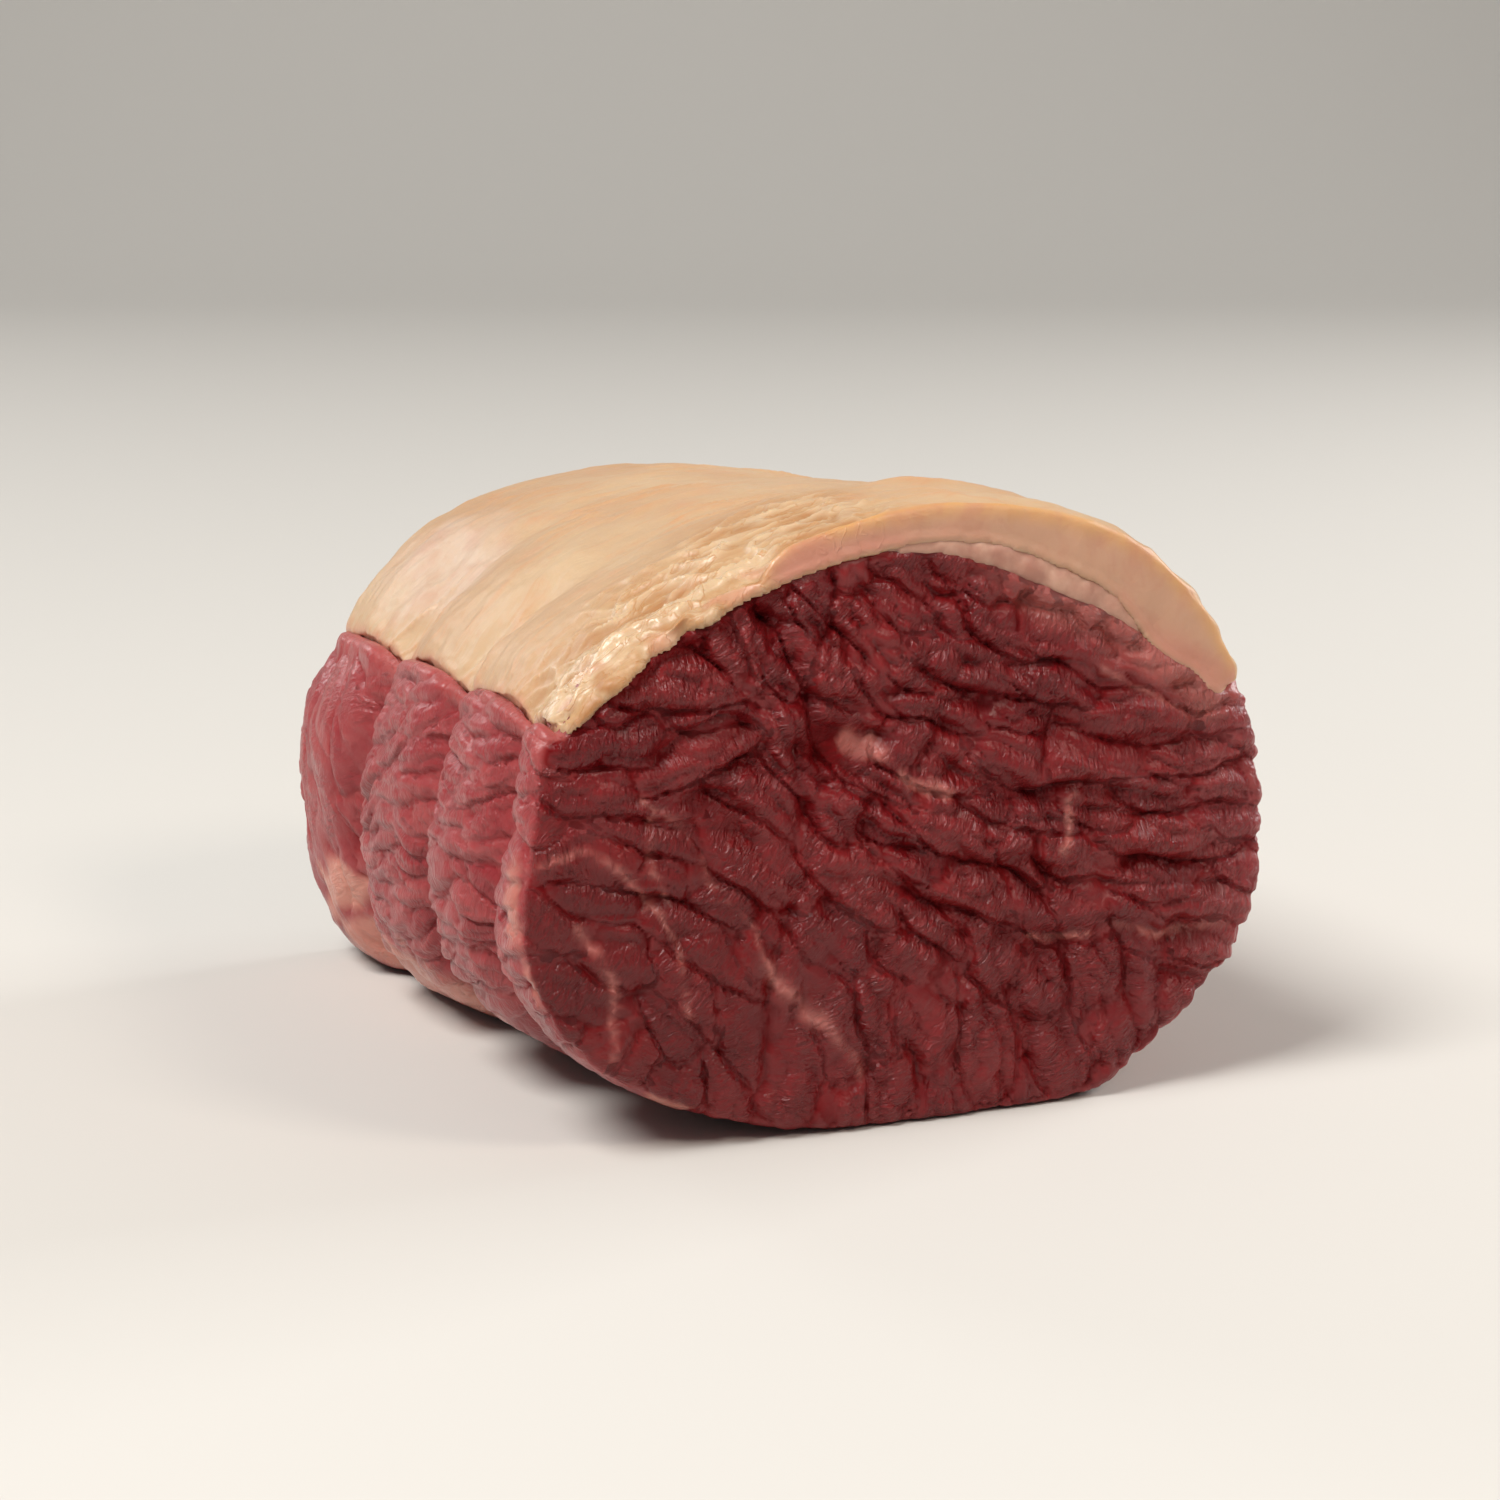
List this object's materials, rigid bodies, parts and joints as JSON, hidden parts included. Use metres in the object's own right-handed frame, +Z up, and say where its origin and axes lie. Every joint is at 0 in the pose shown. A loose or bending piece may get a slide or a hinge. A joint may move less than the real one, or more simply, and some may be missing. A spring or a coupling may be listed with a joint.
{
  "type": "raw beef roasting joint",
  "caption": "Raw beef roasting joint: a boned block of lean under a thick cap of fat, with soft string grooves round its sides, cut faces at its ends and a flat underside to rest on.",
  "frame": {"origin": "centre of the bounding box in X and Y, on the surface that the flat underside rests on", "axes": "+Z up, +Y along the joint from its tall cut end to its low one, +X towards the thick edge of the fat cap"},
  "size_m": [0.1578, 0.168, 0.1217],
  "materials": {
    "lean": "moist raw muscle, satin to glossy",
    "fat": "cream fat, soft satin",
    "inner_fat": "pinkish inner fat, soft satin"
  },
  "bodies": {
    "root": {"lean": "lean", "fat_cap": "fat", "inner_fat": "inner_fat"}
  },
  "joints": []
}
